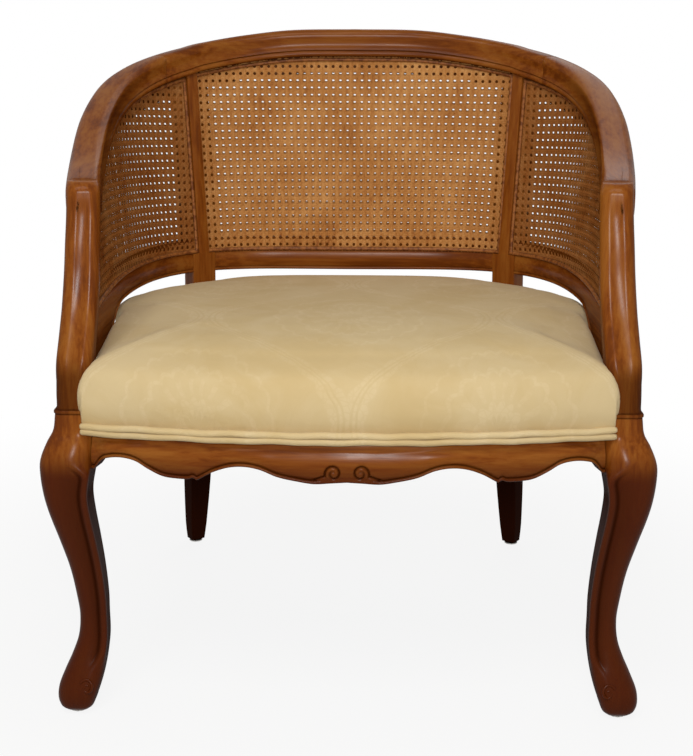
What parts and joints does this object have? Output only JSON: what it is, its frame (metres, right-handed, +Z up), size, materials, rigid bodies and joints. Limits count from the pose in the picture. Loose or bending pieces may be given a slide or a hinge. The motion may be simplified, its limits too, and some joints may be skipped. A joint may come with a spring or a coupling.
{
  "type": "bergere chair",
  "caption": "Low barrel-back armchair with turned-out front legs, cane panels in back and sides, and a tight crowned seat.",
  "frame": {"origin": "on the floor, below the middle of the chair's outer size", "axes": "+Z up, -Y to the front of the chair, +X to the right as seen from the front"},
  "size_m": [0.6678, 0.5964, 0.757],
  "materials": {
    "wood": "warm mid-brown fruitwood with a semi-gloss lacquer",
    "inner_wood": "unfinished hardwood",
    "cane": "woven strips of golden-brown rattan cane, satin",
    "reed": "brown reed spline, satin",
    "damask": "cream-beige tone-on-tone damask, worn and slightly stained",
    "jute": "coarse jute webbing",
    "deck_cloth": "plain unbleached cloth",
    "foam": "pale yellow cushion foam",
    "black_cloth": "thin matt black cloth",
    "steel": "plain zinc-plated steel"
  },
  "bodies": {
    "root": {"crest_rail": "wood", "back_lower_rail": "wood", "arm_rail_left": "wood", "side_lower_rail_left": "wood", "side_seat_rail_left": "wood", "arm_support_left": "wood", "front_leg_left": "wood", "rear_post_left": "wood", "arm_rail_right": "wood", "side_lower_rail_right": "wood", "side_seat_rail_right": "wood", "arm_support_right": "wood", "front_leg_right": "wood", "rear_post_right": "wood", "front_apron": "wood", "back_seat_rail": "wood", "crest_dowel_left": "inner_wood", "arm_dowel_left": "inner_wood", "support_dowel_left": "inner_wood", "front_corner_block_left": "inner_wood", "rear_corner_block_left": "inner_wood", "front_block_screw_left": "steel", "rear_block_screw_left": "steel", "front_glide_left": "steel", "rear_glide_left": "steel", "crest_dowel_right": "inner_wood", "arm_dowel_right": "inner_wood", "support_dowel_right": "inner_wood", "front_corner_block_right": "inner_wood", "rear_corner_block_right": "inner_wood", "front_block_screw_right": "steel", "rear_block_screw_right": "steel", "front_glide_right": "steel", "rear_glide_right": "steel", "inner_cane_back": "cane", "inner_spline_back": "reed", "outer_cane_back": "cane", "outer_spline_back": "reed", "inner_cane_left": "cane", "inner_spline_left": "reed", "outer_cane_left": "cane", "outer_spline_left": "reed", "inner_cane_right": "cane", "inner_spline_right": "reed", "outer_cane_right": "cane", "outer_spline_right": "reed", "seat_webbing": "jute", "seat_deck": "deck_cloth", "seat_foam": "foam", "seat_cover": "damask", "front_welt": "damask", "back_welt": "damask", "side_welt_left": "damask", "side_welt_right": "damask", "dust_cover": "black_cloth"}
  },
  "joints": []
}
